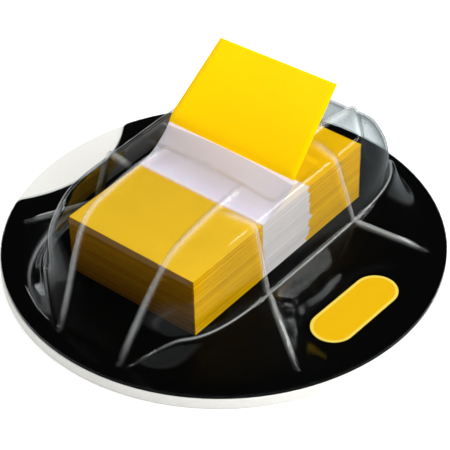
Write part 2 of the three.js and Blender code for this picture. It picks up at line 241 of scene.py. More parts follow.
def lathe(profile, segments):
    """Points and faces of a closed solid turned about Z, from (radius, z) pairs that start and
    end on the axis, lowest first."""
    inner = profile[1:-1]
    angles = np.linspace(0, 2 * math.pi, segments, endpoint=False)
    points = [(r * math.cos(a), r * math.sin(a), z) for r, z in inner for a in angles]
    bottom, top = len(points), len(points) + 1
    points += [(0, 0, profile[0][1]), (0, 0, profile[-1][1])]
    faces = []
    for ring in range(len(inner) - 1):
        for i in range(segments):
            j = (i + 1) % segments
            low, high = ring * segments, (ring + 1) * segments
            faces.append((low + i, low + j, high + j, high + i))
    last = (len(inner) - 1) * segments
    faces += [(bottom, (i + 1) % segments, i) for i in range(segments)]
    faces += [(top, last + i, last + (i + 1) % segments) for i in range(segments)]
    return points, faces


# Foam rubber sheet, die-cut: chalky and even, with hardly any shine. Its pores are about 0.1 mm,
# and are drawn 0.35 mm wide so that they show at all.
foam, foam_tree = start_material("die_cut_foam_rubber")
foam_grain = object_noise(foam_tree, FOAM_GRAIN, FOAM_GRAIN_DETAIL, FOAM_GRAIN_ROUGHNESS)
foam_colour = add_node(foam_tree, "ShaderNodeMix", {"data_type": "RGBA"}, {
    0: foam_grain.outputs["Fac"], 6: linear(FOAM_SHADE), 7: linear(FOAM_WHITE)})
foam_bump = add_node(foam_tree, "ShaderNodeBump", None, {
    "Strength": FOAM_GRAIN_STRENGTH, "Distance": FOAM_GRAIN_DEPTH * MM,
    "Height": foam_grain.outputs["Fac"]})
foam_shader = add_node(foam_tree, "ShaderNodeBsdfPrincipled", None, {
    "Base Color": foam_colour.outputs[2], "Roughness": FOAM_ROUGHNESS,
    "Normal": foam_bump.outputs[0], "Specular IOR Level": FOAM_SPECULAR})
finish_material(foam_tree, foam_shader.outputs[0])

edge_turns = [math.pi / 2 * k / PAD_EDGE_STEPS for k in range(PAD_EDGE_STEPS + 1)]
pad_profile = [(0.0, 0.0)]
pad_profile += [(PAD_RADIUS - PAD_EDGE + PAD_EDGE * math.sin(t), PAD_EDGE - PAD_EDGE * math.cos(t))
                for t in edge_turns]
pad_profile += [(PAD_RADIUS - PAD_EDGE + PAD_EDGE * math.cos(t),
                 PAD_THICKNESS - PAD_EDGE + PAD_EDGE * math.sin(t)) for t in edge_turns]
pad_profile += [(0.0, PAD_THICKNESS)]
pad = make_piece("foam_pad", *lathe(pad_profile, PAD_SEGMENTS), foam)
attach(pad, "root")
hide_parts("grip_pad")


# Printed card
# The card disc is die-cut board, printed solid black and varnished. A plain amber field is
# printed in the window between two of the cover's fins.

CARD_BLACK = "#030303"
CARD_ROUGHNESS, CARD_SPECULAR = 0.35, 0.08
RIPPLE_SIZE, RIPPLE_DEPTH, RIPPLE_STRENGTH = 3.0, 0.01, 0.2
LABEL_AMBER = "#f2b90c"
LABEL_RIM = "#f8d65a"
LABEL_CENTRE = (26.8, -0.5)
LABEL_TURN = math.radians(88.0)
LABEL_HALF = (9.0, 3.6)
LABEL_CORNER = 3.6
LABEL_BORDER = 0.5
ANY_HEIGHT = 1000.0


def rounded_box_distance(tree, centre, turn, half, corner):
    """Distance in millimetres to a turned rounded rectangle in plan, below 0 inside it."""
    place = add_node(tree, "ShaderNodeTexCoord")
    local = add_node(tree, "ShaderNodeMapping", {"vector_type": "TEXTURE"}, {
        "Vector": place.outputs["Object"],
        "Location": (centre[0] * MM, centre[1] * MM, 0.0), "Rotation": (0.0, 0.0, turn),
        "Scale": (MM, MM, MM)})
    folded = add_node(tree, "ShaderNodeVectorMath", {"operation": "ABSOLUTE"},
                      {0: local.outputs[0]})
    past = add_node(tree, "ShaderNodeVectorMath", {"operation": "SUBTRACT"}, {
        0: folded.outputs[0], 1: (half[0] - corner, half[1] - corner, ANY_HEIGHT)})
    outside = add_node(tree, "ShaderNodeVectorMath", {"operation": "MAXIMUM"},
                       {0: past.outputs[0], 1: (0.0, 0.0, 0.0)})
    reach = add_node(tree, "ShaderNodeVectorMath", {"operation": "LENGTH"},
                     {0: outside.outputs[0]})
    distance = add_node(tree, "ShaderNodeMath", {"operation": "SUBTRACT"},
                        {0: reach.outputs["Value"], 1: corner})
    return distance.outputs[0]


# Card printed solid black and varnished: deep black with a faint sheen, rippled a little as board
# is. The amber is a flat spot colour inside a paler rim.
card, card_tree = start_material("varnished_black_card")
label_distance = rounded_box_distance(card_tree, LABEL_CENTRE, LABEL_TURN, LABEL_HALF, LABEL_CORNER)
label_inside = add_node(card_tree, "ShaderNodeMath", {"operation": "LESS_THAN"},
                        {0: label_distance, 1: 0.0})
label_middle = add_node(card_tree, "ShaderNodeMath", {"operation": "LESS_THAN"},
                        {0: label_distance, 1: -LABEL_BORDER})
label_colour = add_node(card_tree, "ShaderNodeMix", {"data_type": "RGBA"}, {
    0: label_middle.outputs[0], 6: linear(LABEL_RIM), 7: linear(LABEL_AMBER)})
card_colour = add_node(card_tree, "ShaderNodeMix", {"data_type": "RGBA"}, {
    0: label_inside.outputs[0], 6: linear(CARD_BLACK), 7: label_colour.outputs[2]})
card_ripple = object_noise(card_tree, RIPPLE_SIZE)
card_bump = add_node(card_tree, "ShaderNodeBump", None, {
    "Strength": RIPPLE_STRENGTH, "Distance": RIPPLE_DEPTH * MM,
    "Height": card_ripple.outputs["Fac"]})
card_shader = add_node(card_tree, "ShaderNodeBsdfPrincipled", None, {
    "Base Color": card_colour.outputs[2], "Roughness": CARD_ROUGHNESS,
    "Specular IOR Level": CARD_SPECULAR, "Normal": card_bump.outputs[0]})
finish_material(card_tree, card_shader.outputs[0])
nodes["backing_card"].data.materials.clear()
nodes["backing_card"].data.materials.append(card)


# Stack of flags
# About 200 film flags stuck on one another and turned end for end, so that their printed
# yellow ends are at both ends of the stack and their bare ends meet in a whitish band.

FLAG_WIDTH = 25.4
FLAG_LENGTH = 43.2
STACK_BASE = 2.3
STACK_HEIGHT = 11.0
STACK_X = -1.6
STACK_Y = 0.9
STACK_FLAGS = 200
STACK_JITTER = (0.07, 0.12)
FLAG_GAP_SHARE = 0.2
SLIP_SEED, SHADE_SEED = 7, 3
BAND_FRONT = -3.7
BAND_BACK = 8.4
INK_TOP = "#f6c40a"
INK_EDGE = "#d9a206"
LOT_HEIGHT, LOT_DETAIL = 2.0, 3.0
STREAK_RANGE = (0.05, 0.45)
BAND_WANDER, BAND_EDGE = 6.5, 0.1
END_BAND = 0.02
# Painted shade on the ends of the stack: a dark amber, darker at the bottom than at the top.
PAINTED_END_SHADE_LOW = "#66563f"
PAINTED_END_SHADE_TOP = "#a8956f"
FILM_WHITE = "#ece2e1"
FILM_SHADE = "#dad1cf"
INK_ROUGHNESS, INK_SPECULAR = 0.55, 0.05

# Printed polyester film, guillotined: a satin yellow on top, and on the cut sides fine streaks
# where the ink reaches the edge more or less, round a whitish band of bare film. The ends get
# painted shade, a dark amber multiplied in and darker towards the bottom, for the shadow they lie
# in.
ink, ink_tree = start_material("guillotined_printed_film")
ink_place = add_node(ink_tree, "ShaderNodeTexCoord")
ink_axes = add_node(ink_tree, "ShaderNodeSeparateXYZ", None, {0: ink_place.outputs["Object"]})
layer = add_node(ink_tree, "ShaderNodeAttribute", {"attribute_name": "layer_shade"})
ink_height = add_node(ink_tree, "ShaderNodeCombineXYZ", None, {2: ink_axes.outputs["Z"]})
lots = add_node(ink_tree, "ShaderNodeTexNoise", None, {
    "Vector": ink_height.outputs[0], "Scale": 1 / (LOT_HEIGHT * MM), "Detail": LOT_DETAIL})
wander = add_node(ink_tree, "ShaderNodeMath", {"operation": "MULTIPLY_ADD"}, {
    0: lots.outputs["Fac"], 1: -BAND_WANDER * MM, 2: BAND_WANDER / 2 * MM})
ink_run = add_node(ink_tree, "ShaderNodeMath", {"operation": "ADD"},
                   {0: ink_axes.outputs["Y"], 1: wander.outputs[0]})
past_front = add_node(ink_tree, "ShaderNodeMapRange", None, {
    "Value": ink_axes.outputs["Y"], "From Min": (BAND_FRONT - BAND_EDGE) * MM,
    "From Max": (BAND_FRONT + BAND_EDGE) * MM})
before_back = add_node(ink_tree, "ShaderNodeMapRange", None, {
    "Value": ink_run.outputs[0], "From Min": (BAND_BACK + BAND_EDGE) * MM,
    "From Max": (BAND_BACK - BAND_EDGE) * MM})
in_band = add_node(ink_tree, "ShaderNodeMath", {"operation": "MULTIPLY"},
                   {0: past_front.outputs[0], 1: before_back.outputs[0]})
streaks = add_node(ink_tree, "ShaderNodeMath", {"operation": "MULTIPLY"},
                   {0: layer.outputs["Fac"], 1: lots.outputs["Fac"]})
streak_share = add_node(ink_tree, "ShaderNodeMapRange", None, {
    "Value": streaks.outputs[0], "From Min": STREAK_RANGE[0], "From Max": STREAK_RANGE[1]})
ink_shade = add_node(ink_tree, "ShaderNodeMix", {"data_type": "RGBA"}, {
    0: streak_share.outputs[0], 6: linear(INK_EDGE), 7: linear(INK_TOP)})
film_shade = add_node(ink_tree, "ShaderNodeMix", {"data_type": "RGBA"}, {
    0: layer.outputs["Fac"], 6: linear(FILM_SHADE), 7: linear(FILM_WHITE)})
ink_colour = add_node(ink_tree, "ShaderNodeMix", {"data_type": "RGBA"}, {
    0: in_band.outputs[0], 6: ink_shade.outputs[2], 7: film_shade.outputs[2]})
ink_off = add_node(ink_tree, "ShaderNodeMath", {"operation": "SUBTRACT"},
                   {0: ink_axes.outputs["Y"], 1: STACK_Y * MM})
ink_reach = add_node(ink_tree, "ShaderNodeMath", {"operation": "ABSOLUTE"},
                     {0: ink_off.outputs[0]})
# Painted shade: below the top, the flags' ends are multiplied by a dark amber that darkens towards
# the bottom.
past_end = add_node(ink_tree, "ShaderNodeMath", {"operation": "GREATER_THAN"}, {
    0: ink_reach.outputs[0], 1: (FLAG_LENGTH / 2 - STACK_JITTER[1] - END_BAND) * MM})
below_top = add_node(ink_tree, "ShaderNodeMath", {"operation": "LESS_THAN"}, {
    0: ink_axes.outputs["Z"], 1: (STACK_BASE + STACK_HEIGHT - END_BAND) * MM})
end_shade_mask = add_node(ink_tree, "ShaderNodeMath", {"operation": "MULTIPLY"},
                   {0: past_end.outputs[0], 1: below_top.outputs[0]})
end_shade_height = add_node(ink_tree, "ShaderNodeMapRange", None, {
    "Value": ink_axes.outputs["Z"], "From Min": STACK_BASE * MM,
    "From Max": (STACK_BASE + STACK_HEIGHT) * MM})
painted_end_shade = add_node(ink_tree, "ShaderNodeMix", {"data_type": "RGBA"}, {
    0: end_shade_height.outputs[0], 6: linear(PAINTED_END_SHADE_LOW), 7: linear(PAINTED_END_SHADE_TOP)})
ink_with_painted_end_shade = add_node(ink_tree, "ShaderNodeMix", {"data_type": "RGBA", "blend_type": "MULTIPLY"}, {
    0: end_shade_mask.outputs[0], 6: ink_colour.outputs[2], 7: painted_end_shade.outputs[2]})
ink_shader = add_node(ink_tree, "ShaderNodeBsdfPrincipled", None, {
    "Base Color": ink_with_painted_end_shade.outputs[2], "Roughness": INK_ROUGHNESS,
    "Specular IOR Level": INK_SPECULAR})
finish_material(ink_tree, ink_shader.outputs[0])


stack_tree = bpy.data.node_groups.new("flag_pile", "GeometryNodeTree")
stack_inputs = {
    "Flag width": ("NodeSocketFloat", FLAG_WIDTH * MM),
    "Flag length": ("NodeSocketFloat", FLAG_LENGTH * MM),
    "Pile height": ("NodeSocketFloat", STACK_HEIGHT * MM),
    "Flag share": ("NodeSocketFloat", 1 - FLAG_GAP_SHARE),
    "Flags": ("NodeSocketInt", STACK_FLAGS),
    "Corner": ("NodeSocketVector", (STACK_X * MM, STACK_Y * MM, STACK_BASE * MM)),
    "Slip": ("NodeSocketVector", (STACK_JITTER[0] * MM, STACK_JITTER[1] * MM, 0.0)),
    "Slip seed": ("NodeSocketInt", SLIP_SEED),
    "Shade seed": ("NodeSocketInt", SHADE_SEED),
}
for key, (kind, value) in stack_inputs.items():
    socket = stack_tree.interface.new_socket(key, in_out="INPUT", socket_type=kind)
    socket.default_value = value
stack_tree.interface.new_socket("Geometry", in_out="OUTPUT", socket_type="NodeSocketGeometry")
given = add_node(stack_tree, "NodeGroupInput").outputs
pitch = add_node(stack_tree, "ShaderNodeMath", {"operation": "DIVIDE"},
                 {0: given["Pile height"], 1: given["Flags"]})
thickness = add_node(stack_tree, "ShaderNodeMath", {"operation": "MULTIPLY"},
                     {0: pitch.outputs[0], 1: given["Flag share"]})
flag_size = add_node(stack_tree, "ShaderNodeCombineXYZ", None, {
    0: given["Flag width"], 1: given["Flag length"], 2: thickness.outputs[0]})
one_flag = add_node(stack_tree, "GeometryNodeMeshCube", None, {"Size": flag_size.outputs[0]})
row_step = add_node(stack_tree, "ShaderNodeCombineXYZ", None, {2: pitch.outputs[0]})
half_step = add_node(stack_tree, "ShaderNodeVectorMath", {"operation": "SCALE"},
                     {0: row_step.outputs[0], "Scale": 0.5})
row_start = add_node(stack_tree, "ShaderNodeVectorMath", {"operation": "ADD"},
                     {0: given["Corner"], 1: half_step.outputs[0]})
row = add_node(stack_tree, "GeometryNodeMeshLine", {"mode": "OFFSET"}, {
    "Count": given["Flags"], "Start Location": row_start.outputs[0],
    "Offset": row_step.outputs[0]})
slip_low = add_node(stack_tree, "ShaderNodeVectorMath", {"operation": "SCALE"},
                    {0: given["Slip"], "Scale": -1.0})
slip = add_node(stack_tree, "FunctionNodeRandomValue", {"data_type": "FLOAT_VECTOR"}, {
    0: slip_low.outputs[0], 1: given["Slip"], "Seed": given["Slip seed"]})
slipped = add_node(stack_tree, "GeometryNodeSetPosition", None, {
    "Geometry": row.outputs[0], "Offset": slip.outputs[0]})
placed = add_node(stack_tree, "GeometryNodeInstanceOnPoints", None, {
    "Points": slipped.outputs[0], "Instance": one_flag.outputs["Mesh"]})
shade = add_node(stack_tree, "FunctionNodeRandomValue", {"data_type": "FLOAT"}, {
    2: 0.0, 3: 1.0, "Seed": given["Shade seed"]})
stored = add_node(stack_tree, "GeometryNodeStoreNamedAttribute",
                  {"data_type": "FLOAT", "domain": "INSTANCE"},
                  {"Geometry": placed.outputs[0], "Name": "layer_shade",
                   "Value": shade.outputs[1]})
real = add_node(stack_tree, "GeometryNodeRealizeInstances", None, {0: stored.outputs[0]})
inked = add_node(stack_tree, "GeometryNodeSetMaterial", None, {
    "Geometry": real.outputs[0], "Material": ink})
add_node(stack_tree, "NodeGroupOutput", None, {0: inked.outputs[0]})


def grow_piece(name, tree, values):
    """A plain mesh object from a Geometry Nodes tree, with its inputs set by their identifiers."""
    seed = bpy.data.objects.new(name + "_seed", bpy.data.meshes.new(name + "_seed"))
    scene.collection.objects.link(seed)
    grower = seed.modifiers.new("grow", "NODES")
    grower.node_group = tree
    for item in tree.interface.items_tree:
        if item.in_out == "INPUT" and item.name in values:
            grower[item.identifier] = values[item.name]
    depsgraph = bpy.context.evaluated_depsgraph_get()
    mesh = bpy.data.meshes.new_from_object(seed.evaluated_get(depsgraph), depsgraph=depsgraph)
    mesh.name = name
    bpy.data.objects.remove(seed)
    piece = bpy.data.objects.new(name, mesh)
    scene.collection.objects.link(piece)
    return piece


stack = grow_piece("flag_pile", stack_tree, {
    "Flags": STACK_FLAGS, "Slip seed": SLIP_SEED, "Shade seed": SHADE_SEED})
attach(stack, "root")
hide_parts("flag_stack")


# Drawn flag
# One flag has been pulled up through the slot. It is polyester film 0.05 mm thick, printed
# solid yellow on the end that is out; its bare end is frosted, and clear where it is stuck down.

FILM_THICKNESS = 0.08
RISE_ANGLE = math.radians(62)
RISE_RADIUS = 4.0
LEFT_LEAN = math.radians(31.5)
RIGHT_LEAN = math.radians(48.5)
LEAN_RADIUS = 4.0
FREE_LENGTH = 16.0
DRAWN_X = 0.4
SLOT_Y = 1.9
SLOT_Z = 19.87
FLAG_ACROSS = 24
FLAG_ALONG = 220
FILM_PRINTED, FILM_BARE = "#ffe400", "#fdf8ff"
FILM_ROUGHNESS, FILM_SPECULAR = 0.45, 0.15
FILM_LETS_THROUGH = 0.6
PRINT_MARGIN = 0.3
FROST_START, FROST_END = -0.2, 0.5
STUCK_MILK, FREE_MILK = 0.02, 0.95
STACK_TOP = STACK_BASE + STACK_HEIGHT

bend_length = RISE_RADIUS * RISE_ANGLE
bend_rise = RISE_RADIUS * (1 - math.cos(RISE_ANGLE))
straight_length = (SLOT_Z - STACK_TOP - bend_rise) / math.sin(RISE_ANGLE)
bend_start_y = SLOT_Y - straight_length * math.cos(RISE_ANGLE) - RISE_RADIUS * math.sin(RISE_ANGLE)
flat_length = FLAG_LENGTH - FREE_LENGTH - straight_length - bend_length


def film_station(length, lean):
    """Y, z and slope of the drawn flag at a length along it, for one of its long edges."""
    bend = length - flat_length
    if bend <= 0:
        return bend_start_y + bend, STACK_TOP, 0.0
    if bend <= bend_length:
        slope = bend / RISE_RADIUS
        return (bend_start_y + RISE_RADIUS * math.sin(slope),
                STACK_TOP + RISE_RADIUS * (1 - math.cos(slope)), slope)
    past = bend - bend_length - straight_length
    if past <= 0:
        return (SLOT_Y + past * math.cos(RISE_ANGLE), SLOT_Z + past * math.sin(RISE_ANGLE),
                RISE_ANGLE)
    side = math.copysign(1, RISE_ANGLE - lean)
    turn = min(past / LEAN_RADIUS, abs(lean - RISE_ANGLE))
    turned = RISE_ANGLE - side * turn
    rest = past - turn * LEAN_RADIUS
    y = SLOT_Y + LEAN_RADIUS * side * (math.sin(RISE_ANGLE) - math.sin(turned))
    z = SLOT_Z + LEAN_RADIUS * side * (math.cos(turned) - math.cos(RISE_ANGLE))
    return y + rest * math.cos(turned), z + rest * math.sin(turned), turned


def smoothstep(value, start, end):
    share = np.clip((np.asarray(value, float) - start) / (end - start), 0, 1)
    return share * share * (3 - 2 * share)


film_points, film_run = [], []
for lift in (0.0, FILM_THICKNESS):
    for i in range(FLAG_ALONG + 1):
        length = FLAG_LENGTH * i / FLAG_ALONG
        left, right = film_station(length, LEFT_LEAN), film_station(length, RIGHT_LEAN)
        centring = float(smoothstep(length, flat_length, FLAG_LENGTH - FREE_LENGTH))
        middle = STACK_X + (DRAWN_X - STACK_X) * centring
        for j in range(FLAG_ACROSS + 1):
            across = j / FLAG_ACROSS
            y, z, slope = (a + (b - a) * across for a, b in zip(left, right))
            film_points.append((middle + (across - 0.5) * FLAG_WIDTH,
                                y - lift * math.sin(slope), z + lift * math.cos(slope)))
            film_run.append(length)
film_row = FLAG_ACROSS + 1
film_side = film_row * (FLAG_ALONG + 1)
film_faces = []
for i in range(FLAG_ALONG):
    for j in range(FLAG_ACROSS):
        a = i * film_row + j
        film_faces.append((a, a + film_row, a + film_row + 1, a + 1))
        film_faces.append((film_side + a, film_side + a + 1, film_side + a + film_row + 1,
                           film_side + a + film_row))
film_loop = list(range(film_row))
film_loop += [i * film_row + FLAG_ACROSS for i in range(1, FLAG_ALONG + 1)]
film_loop += [FLAG_ALONG * film_row + j for j in range(FLAG_ACROSS - 1, -1, -1)]
film_loop += [i * film_row for i in range(FLAG_ALONG - 1, 0, -1)]
film_faces += [(a, b, film_side + b, film_side + a)
               for a, b in zip(film_loop, film_loop[1:] + film_loop[:1])]

# Polyester film: the printed end is a flat clean yellow that glows, since light comes through it
# too. The bare part is milky where it hangs free and nearly unseen where it is stuck down.
film, film_tree = start_material("printed_polyester_film")
run = add_node(film_tree, "ShaderNodeAttribute", {"attribute_name": "film_run"})
printed = add_node(film_tree, "ShaderNodeMath", {"operation": "GREATER_THAN"}, {
    0: run.outputs["Fac"], 1: FLAG_LENGTH - FREE_LENGTH - PRINT_MARGIN})
frosted = add_node(film_tree, "ShaderNodeMapRange", None, {
    "Value": run.outputs["Fac"], "From Min": flat_length + FROST_START,
    "From Max": flat_length + FROST_END, "To Min": STUCK_MILK, "To Max": FREE_MILK})
film_colour = add_node(film_tree, "ShaderNodeMix", {"data_type": "RGBA"}, {
    0: printed.outputs[0], 6: linear(FILM_BARE), 7: linear(FILM_PRINTED)})
film_cover = add_node(film_tree, "ShaderNodeMath", {"operation": "MAXIMUM"},
                      {0: printed.outputs[0], 1: frosted.outputs[0]})
film_front = add_node(film_tree, "ShaderNodeBsdfPrincipled", None, {
    "Base Color": film_colour.outputs[2], "Roughness": FILM_ROUGHNESS,
    "Specular IOR Level": FILM_SPECULAR})
film_glow = add_node(film_tree, "ShaderNodeBsdfTranslucent", None, {
    "Color": film_colour.outputs[2]})
film_body = add_node(film_tree, "ShaderNodeMixShader", None, {
    0: FILM_LETS_THROUGH, 1: film_front.outputs[0], 2: film_glow.outputs[0]})
film_bare = add_node(film_tree, "ShaderNodeBsdfTransparent")
film_shader = add_node(film_tree, "ShaderNodeMixShader", None, {
    0: film_cover.outputs[0], 1: film_bare.outputs[0], 2: film_body.outputs[0]})
finish_material(film_tree, film_shader.outputs[0])

drawn = make_piece("drawn_film", film_points, film_faces, film)
drawn.data.attributes.new("film_run", "FLOAT", "POINT").data.foreach_set("value", film_run)
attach(drawn, "root")
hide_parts("drawn_flag")


# Clear cover
# One sheet of clear PET, vacuum-formed over a mould: dome, shoulder ledge, corner fins, eight
# stiffening ribs and flange in one skin, with the slot cut after forming. It is stuck to the card.

COVER_WALL = 0.38
FLANGE_TOP = 2.7
DOME_TOP = 20.4
SHOULDER_Z = 8.1
HALF_WIDTH = 17.8
HALF_LENGTH = 29.2
TOP_CORNER_POWER, SHOULDER_CORNER_POWER = 9.0, 4.5
CORNER_CHANGE = (0.88, 1.0)
FRONT_SHARE_POWER, BACK_SHARE_POWER = 8, 18
SIDE_CROWN, SIDE_SLOPE, SIDE_BLEND = 0.0047, 3.6, 2.0
FRONT_CROWN, FRONT_SLOPE, FRONT_BLEND = 0.0042, 1.7, 5.5
BACK_CROWN, BACK_SLOPE, BACK_BLEND = 0.0036, 2.4, 3.0
FOOT_RADIUS = 33.4
CARD_RADIUS = 36.4
LEDGE_WIDTH, LEDGE_DROP = 0.7, 0.3
SKIRT_FLARE, SKIRT_POWER = 0.4, 1.5
END_WALL_START, END_WALL_FULL = math.radians(62), math.radians(80)
FIN_ANGLE = math.radians(31.5)
FIN_WIDTH, FIN_TIP_WIDTH, FIN_SOFT = 4.6, 0.6, 0.12
NOTCH_RADIUS, NOTCH_OFFSET, NOTCH_CORNER = 21.5, 50.5, 1.5
RIB_HEIGHT, RIB_HALF_WIDTH, RIB_ROUNDNESS = 0.5, 0.7, 1.5
RIB_TAPER, RIB_TIP_SHARE = 0.12, 0.25
BEAD_HEIGHT, BEAD_HALF_WIDTH = 0.15, 0.35
PANEL_REACH = (10, 24)
END_RIB_FOOT_X, END_RIB_TOP_X, END_RIB_TURN, END_RIB_BULGE = 6.2, 7.9, 0.4, 0.3
SIDE_RIB_EDGE, SIDE_RIB_TOP = (14.6, 10.2), (9.0, 11.4)
PANEL_HALF = (13.9, 6.2)
PANEL_CORNER, PANEL_DEPTH, PANEL_EDGE = 1.6, 0.3, 0.6
SLOT_SIZE = (27.2, 1.7)
SLOT_CUT = (-4, 2)
SLOT_END_STEPS = 13
SHARP_CREASE = math.radians(40)
SHEET_CLEAR, SHEET_DEEP, DEEP_POWER = "#f8fafa", "#9aa2a6", 2.5
MIRROR_POWER, MIRROR_FACE_ON, MIRROR_EDGE_ON = 4.6, 0.016, 0.9
SHEET_ROUGHNESS = 0.04
# White along the ribs and ledge: a painted highlight, partly also stretch whitening of the sheet.
RIDGE_WHITE_AND_HIGHLIGHT, RIDGE_MILK_AND_HIGHLIGHT, RIDGE_FOCUS = "#eef1ee", 0.18, 1.6
DOME_STEPS, SKIRT_STEPS, RIB_STEPS, NARROWING_STEPS = 240, 120, 90, 8
RIM_OVERRUN, FOOT_EASE = 3, 0.6
LEDGE_LEAD, LEDGE_SPAN, LEDGE_FOOT_ROOM = 0.6, 2.2, 2.6
SPOKE_FINE, SPOKE_COARSE = math.radians(0.4), math.radians(1.35)
SPOKES_DENSE = ((math.radians(28.5), math.radians(36)), (math.radians(68), math.radians(82)))
DOME_RINGS, LEDGE_RINGS, SKIRT_RINGS, RIM_RINGS = 58, 14, 24, 4
FORM_RADIUS = 0.2
SAMPLE = 0.08


def blend_min(first, second, blend):
    over = np.maximum(blend - np.abs(first - second), 0)
    return np.minimum(first, second) - over * over / (4 * blend)


def body_radius(angle, reach=1.0):
    """Distance from the centre to the body's outline in plan, squarer at the top of the dome
    (reach 0) than at the shoulder (reach 1)."""
    power = TOP_CORNER_POWER + (SHOULDER_CORNER_POWER - TOP_CORNER_POWER) * smoothstep(
        reach, *CORNER_CHANGE)
    across = np.abs(np.cos(angle)) / HALF_WIDTH
    along = np.abs(np.sin(angle)) / HALF_LENGTH
    return (across ** power + along ** power) ** (-1 / power)


def dome_reach(radius, angle):
    """Share of the way from the centre to the body's outline at a radius."""
    reach = radius / body_radius(angle)
    for _ in range(NARROWING_STEPS):
        reach = radius / body_radius(angle, reach)
    return reach


def dome_z(reach, angle):
    body = body_radius(angle)
    x, y = reach * HALF_WIDTH, reach * HALF_LENGTH
    side = blend_min(DOME_TOP - SIDE_CROWN * x * x,
                     SHOULDER_Z + SIDE_SLOPE * (HALF_WIDTH - x), SIDE_BLEND)
    front = blend_min(DOME_TOP - FRONT_CROWN * y * y,
                      SHOULDER_Z + FRONT_SLOPE * (HALF_LENGTH - y), FRONT_BLEND)
    back = blend_min(DOME_TOP - BACK_CROWN * y * y,
                     SHOULDER_Z + BACK_SLOPE * (HALF_LENGTH - y), BACK_BLEND)
    at_front = np.sin(angle) < 0
    end = np.where(at_front, front, back)
    share_power = np.where(at_front, FRONT_SHARE_POWER, BACK_SHARE_POWER)
    along = np.abs(np.sin(angle)) * body / HALF_LENGTH
    return np.maximum(side + (end - side) * along ** share_power, FLANGE_TOP)


def folded(angle):
    return np.arctan2(np.abs(np.sin(angle)), np.abs(np.cos(angle)))


def end_share(angle):
    return smoothstep(folded(angle), END_WALL_START, END_WALL_FULL)


def dome_radius(angle):
    body = body_radius(angle)
    return body + (FOOT_RADIUS - body) * end_share(angle)


def soft_ramp(value, soft):
    """0 below 0 and the value above it, with the corner rounded over a width of soft."""
    return np.where(value > soft, value,
                    np.where(value < -soft, 0, (value + soft) ** 2 / (4 * soft)))


def skirt_share(station, radius, angle):
    from_fin = folded(angle) - FIN_ANGLE
    fin_width = FIN_WIDTH * (1 - station) + FIN_TIP_WIDTH
    fin = (1 - station) * soft_ramp(1 - np.abs(from_fin) * radius / fin_width, FIN_SOFT)
    lobe = np.where(from_fin < 0, 0, (1 - station) ** SKIRT_POWER)
    return np.maximum(fin, lobe)


def rim_radius(angle):
    """Distance from the centre to the flange's cut edge, with the round bite on the -X side."""
    rim_reach, notch_reach = CARD_RADIUS - NOTCH_CORNER, NOTCH_RADIUS + NOTCH_CORNER
    meet = math.acos((NOTCH_OFFSET ** 2 + rim_reach ** 2 - notch_reach ** 2)
                     / (2 * NOTCH_OFFSET * rim_reach))
    corner = np.array((rim_reach * math.cos(meet), rim_reach * math.sin(meet)))
    inward = corner - np.array((NOTCH_OFFSET, 0))
    touch = corner - inward / np.linalg.norm(inward) * NOTCH_CORNER
    from_back = abs(angle % (2 * math.pi) - math.pi)
    if from_back >= meet:
        return CARD_RADIUS
    if from_back <= math.atan2(touch[1], touch[0]):
        half = NOTCH_OFFSET * math.cos(from_back)
        return half - math.sqrt(half * half - NOTCH_OFFSET ** 2 + NOTCH_RADIUS ** 2)
    half = corner[0] * math.cos(from_back) + corner[1] * math.sin(from_back)
    return half + math.sqrt(max(half * half - corner @ corner + NOTCH_CORNER ** 2, 0))


def spoke_profile(angle):
    """Outer skin along one spoke as (radius, z) rows, creases rounded as the mould rounds them,
    and the row in the middle of its shoulder ledge."""
    dome, ledge = float(dome_radius(angle)), 1 - float(end_share(angle))
    reach = np.linspace(0, dome / float(body_radius(angle)), DOME_STEPS)
    radii = reach * body_radius(angle, reach)
    heights = dome_z(reach, angle)
    start = dome + LEDGE_WIDTH * ledge
    start_z = max(heights[-1] - LEDGE_DROP * ledge, FLANGE_TOP)
    flare = start + SKIRT_FLARE * ledge
    station = np.linspace(0, 1, SKIRT_STEPS)
    skirt = flare + (FOOT_RADIUS + SKIRT_FLARE - flare) * station
    share = skirt_share(station, skirt, angle)
    r = np.concatenate([radii, [start], skirt, [CARD_RADIUS + RIM_OVERRUN]])
    z = np.concatenate([heights, [start_z], FLANGE_TOP + (start_z - FLANGE_TOP) * share,
                        [FLANGE_TOP]])
    run = np.concatenate([[0], np.cumsum(np.hypot(np.diff(r), np.diff(z)))])
    run += np.arange(len(run)) * 1e-9
    even = np.arange(0, run[-1], SAMPLE)
    width = int(4 * FORM_RADIUS / SAMPLE)
    kernel = np.exp(-0.5 * (np.arange(-width, width + 1) * SAMPLE / FORM_RADIUS) ** 2)
    kernel /= kernel.sum()
    smooth = []
    for values in (r, z):
        sampled = np.interp(even, run, values)
        mirrored = sampled[1:width + 1][::-1]
        before = -mirrored if values is r else mirrored
        padded = np.concatenate([before, sampled, np.linspace(sampled[-1], 2 * sampled[-1]
                                 - sampled[-1 - width], width + 1)[1:]])
        smooth.append(np.convolve(padded, kernel, "valid"))
    smooth_r, smooth_z = smooth
    edge_run = run[DOME_STEPS - 1]
    rim = rim_radius(angle)
    foot = min(FOOT_RADIUS + SKIRT_FLARE + FOOT_EASE, rim - FOOT_EASE)
    foot_run = np.interp(foot, np.maximum.accumulate(smooth_r), even)
    rim_run = np.interp(rim, np.maximum.accumulate(smooth_r), even)
    ledge_start = min(edge_run - LEDGE_LEAD, foot_run - LEDGE_FOOT_ROOM)
    stops = (0, ledge_start, ledge_start + LEDGE_SPAN, foot_run, rim_run)
    counts = (DOME_RINGS, LEDGE_RINGS, SKIRT_RINGS, RIM_RINGS)
    runs = np.concatenate([np.linspace(a, b, count + 1)[1:]
                           for a, b, count in zip(stops, stops[1:], counts)]
                          + [[edge_run + LEDGE_WIDTH / 2]])
    rows = np.stack([np.interp(runs, even, smooth_r), np.interp(runs, even, smooth_z)], 1)
    return rows[:-1], rows[-1]


